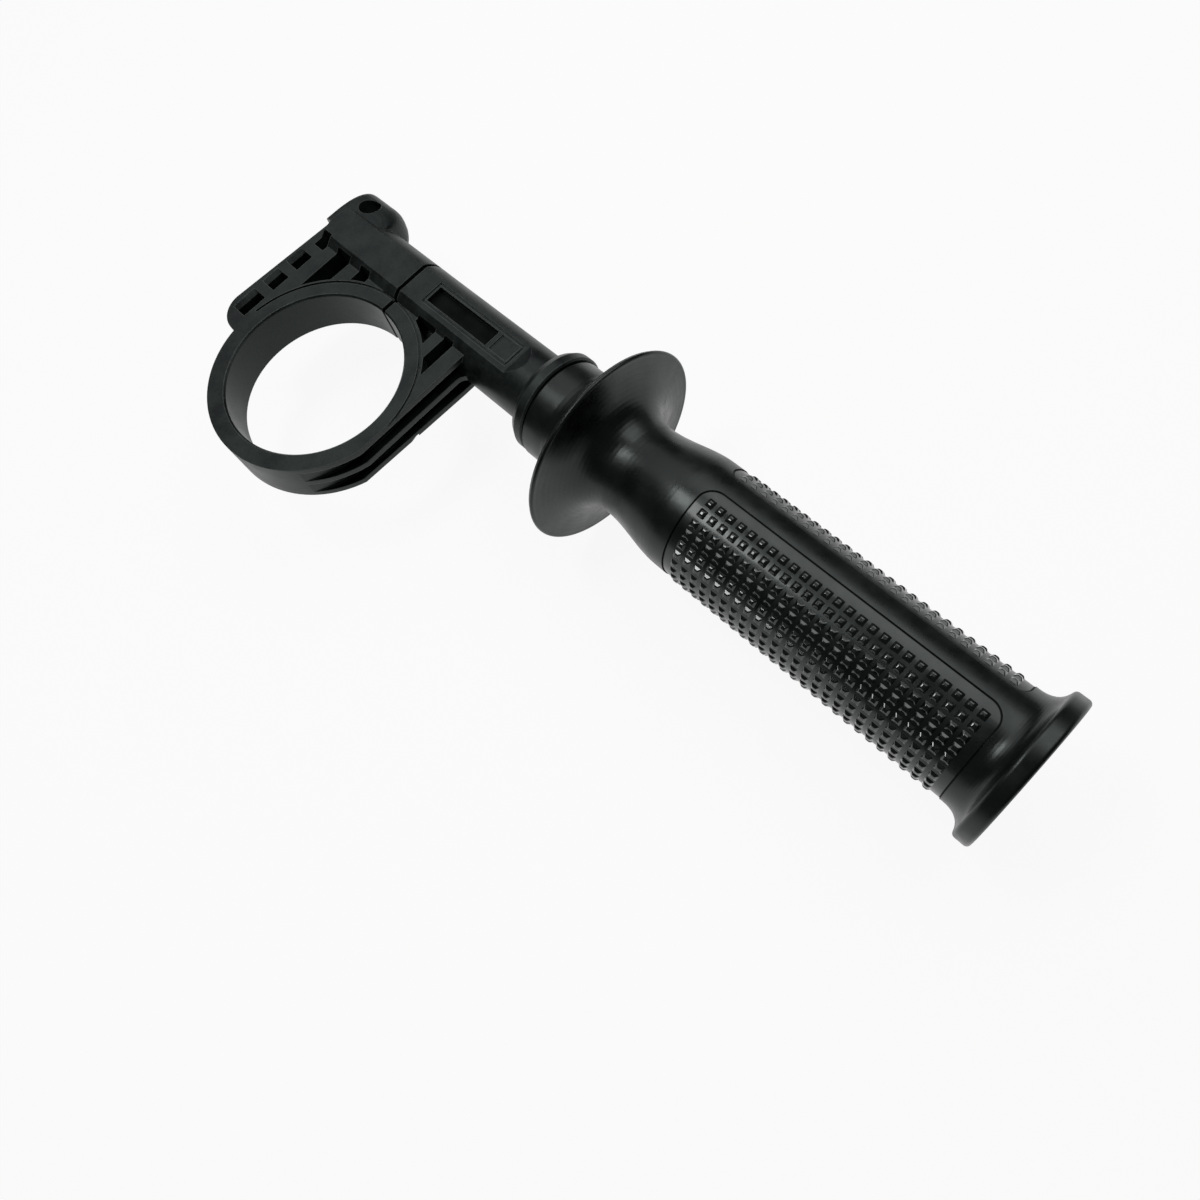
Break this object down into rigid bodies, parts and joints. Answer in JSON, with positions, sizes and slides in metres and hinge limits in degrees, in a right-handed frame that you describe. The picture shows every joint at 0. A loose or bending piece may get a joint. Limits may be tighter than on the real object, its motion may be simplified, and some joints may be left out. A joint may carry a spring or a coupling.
{
  "type": "power tool side handle",
  "caption": "Side handle for a power tool: a split clamp ring on a ribbed arm, tightened by turning a guarded, textured grip on its through bolt.",
  "frame": {"origin": "centre of the clamp's bore, at the middle of the ring's width", "axes": "+X along the handle towards the end of the grip, +Y from the bore towards the handle's axis, +Z along the bore, out of the face that has the label field"},
  "size_m": [0.2729, 0.1085, 0.063],
  "materials": {
    "clamp_plastic": "satin black glass-filled plastic, finely grained",
    "grip_plastic": "black, glossy on the guard and smooth bands, with fine raised pips on the panels",
    "zinc_steel": "bright zinc plating"
  },
  "bodies": {
    "clamp": {"clamp_body": "clamp_plastic", "clamp_bolt": "zinc_steel"},
    "washer": {"thrust_washer": "zinc_steel"},
    "grip": {"grip": "grip_plastic", "insert_nut": "zinc_steel"}
  },
  "joints": [
    {"name": "grip_travel", "type": "slide", "parent": "clamp", "child": "washer", "axis": [1, 0, 0], "range_m": [0, 0.005]},
    {"name": "grip_turn", "type": "hinge", "parent": "washer", "child": "grip", "pos_m": [0.0665, 0.0421, 0], "axis": [1, 0, 0], "range_deg": [0, 1440]}
  ],
  "couplings": [
    {"joint": "grip_turn", "follows": "grip_travel", "rad_per_m": 5026.5}
  ]
}
